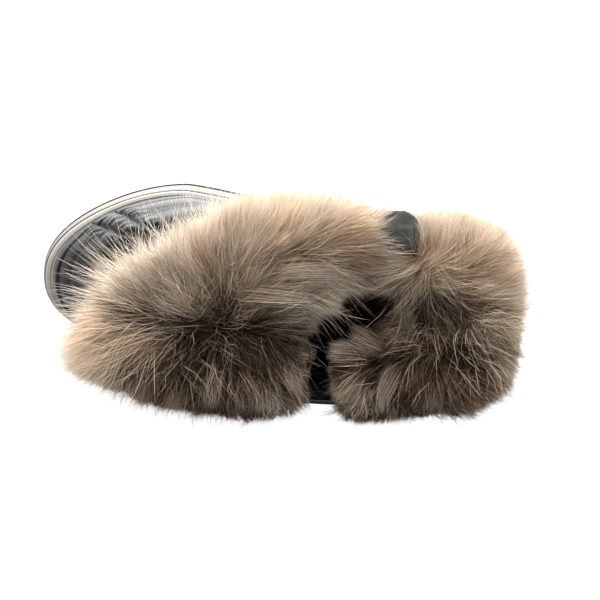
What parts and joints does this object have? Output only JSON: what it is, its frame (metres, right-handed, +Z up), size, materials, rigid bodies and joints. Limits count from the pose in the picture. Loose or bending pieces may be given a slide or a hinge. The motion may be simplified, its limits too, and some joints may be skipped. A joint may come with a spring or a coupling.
{
  "type": "snow boot",
  "caption": "Right-foot ankle snow boot, black padded leather on a banded pale sole, deep fur cuff folded round the collar in front and back lobes, felt pull tab on the outer side",
  "frame": {"origin": "on the floor, under the middle of the boot's box", "axes": "+X from toe to heel, +Y to the lateral side of a right foot, +Z up"},
  "size_m": [0.2912, 0.1238, 0.2357],
  "materials": {
    "outsole": "black rubber tread",
    "midsole": "cream rubber",
    "pinstripe": "black rubber line",
    "rand": "cream rubber",
    "upper": "smooth black leather, soft sheen",
    "insole": "black textile footbed",
    "fur_cuff_front": "long tan and brown artificial fur",
    "fur_cuff_back": "long tan and brown artificial fur",
    "pull_tab": "charcoal felt"
  },
  "bodies": {
    "root": {"outsole": "outsole", "midsole": "midsole", "pinstripe": "pinstripe", "rand": "rand", "upper": "upper", "insole": "insole", "fur_cuff_front": "fur_cuff_front", "fur_cuff_back": "fur_cuff_back", "pull_tab": "pull_tab"}
  },
  "joints": []
}
